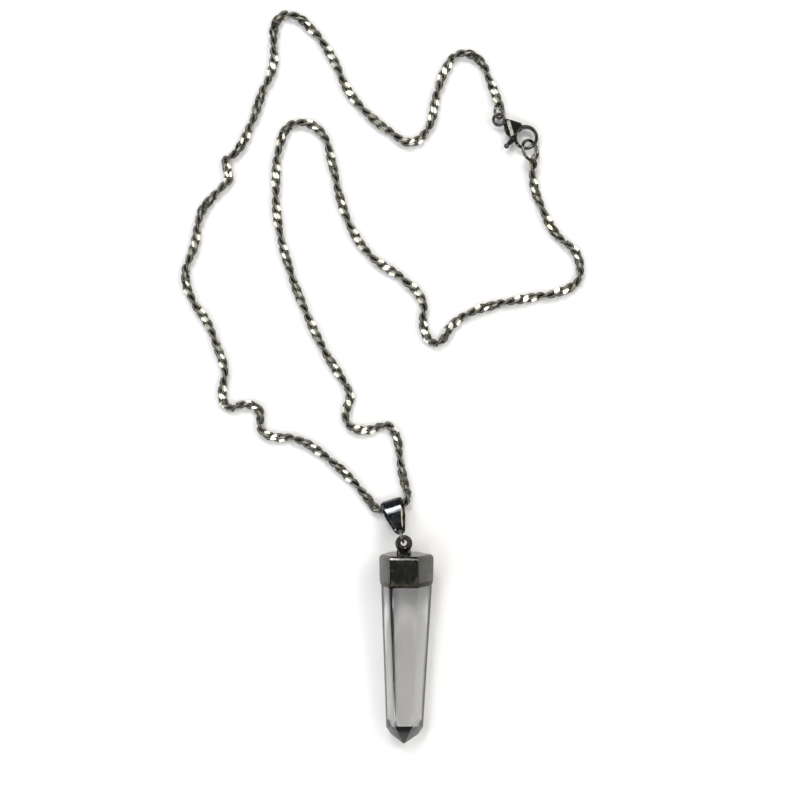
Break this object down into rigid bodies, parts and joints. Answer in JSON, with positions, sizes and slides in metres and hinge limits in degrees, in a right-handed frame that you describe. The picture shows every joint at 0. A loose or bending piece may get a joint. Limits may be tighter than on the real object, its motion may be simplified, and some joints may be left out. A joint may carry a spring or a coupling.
{
  "type": "crystal point pendant necklace",
  "caption": "Clear six-sided crystal point in a metal cap, hung from a folded bail on a twisted curb chain with a lobster clasp, laid flat.",
  "frame": {"origin": "on the table, below the middle of the whole necklace's box", "axes": "+X to the right and +Y up in the flat view, with the pendant's tip towards -Y and the clasp at the upper right; +Z up from the table"},
  "size_m": [0.0868, 0.1577, 0.0103],
  "materials": {
    "clear_quartz": "polished clear quartz",
    "plated_cap": "mirror plated, with fine rubbing marks",
    "plated_wire": "drawn wire, plated",
    "chain_metal": "diamond cut links, darkened between them",
    "clasp_metal": "tumbled and plated casting"
  },
  "bodies": {
    "root": {"crystal": "clear_quartz", "cap": "plated_cap", "bail_link": "plated_wire", "bail": "plated_cap", "chain_left": "chain_metal", "chain_right": "chain_metal", "clasp_ring": "plated_wire", "clasp_body": "clasp_metal", "end_ring": "plated_wire"},
    "clasp_lever": {"clasp_lever": "clasp_metal"}
  },
  "joints": [
    {"name": "clasp_lever_hinge", "type": "hinge", "parent": "root", "child": "clasp_lever", "pos_m": [0.02741, 0.05265, 0.0015], "axis": [0, 0, 1], "range_deg": [0, 20], "stiffness_Nm_per_rad": 0.0005, "springref_deg": -11.46}
  ]
}
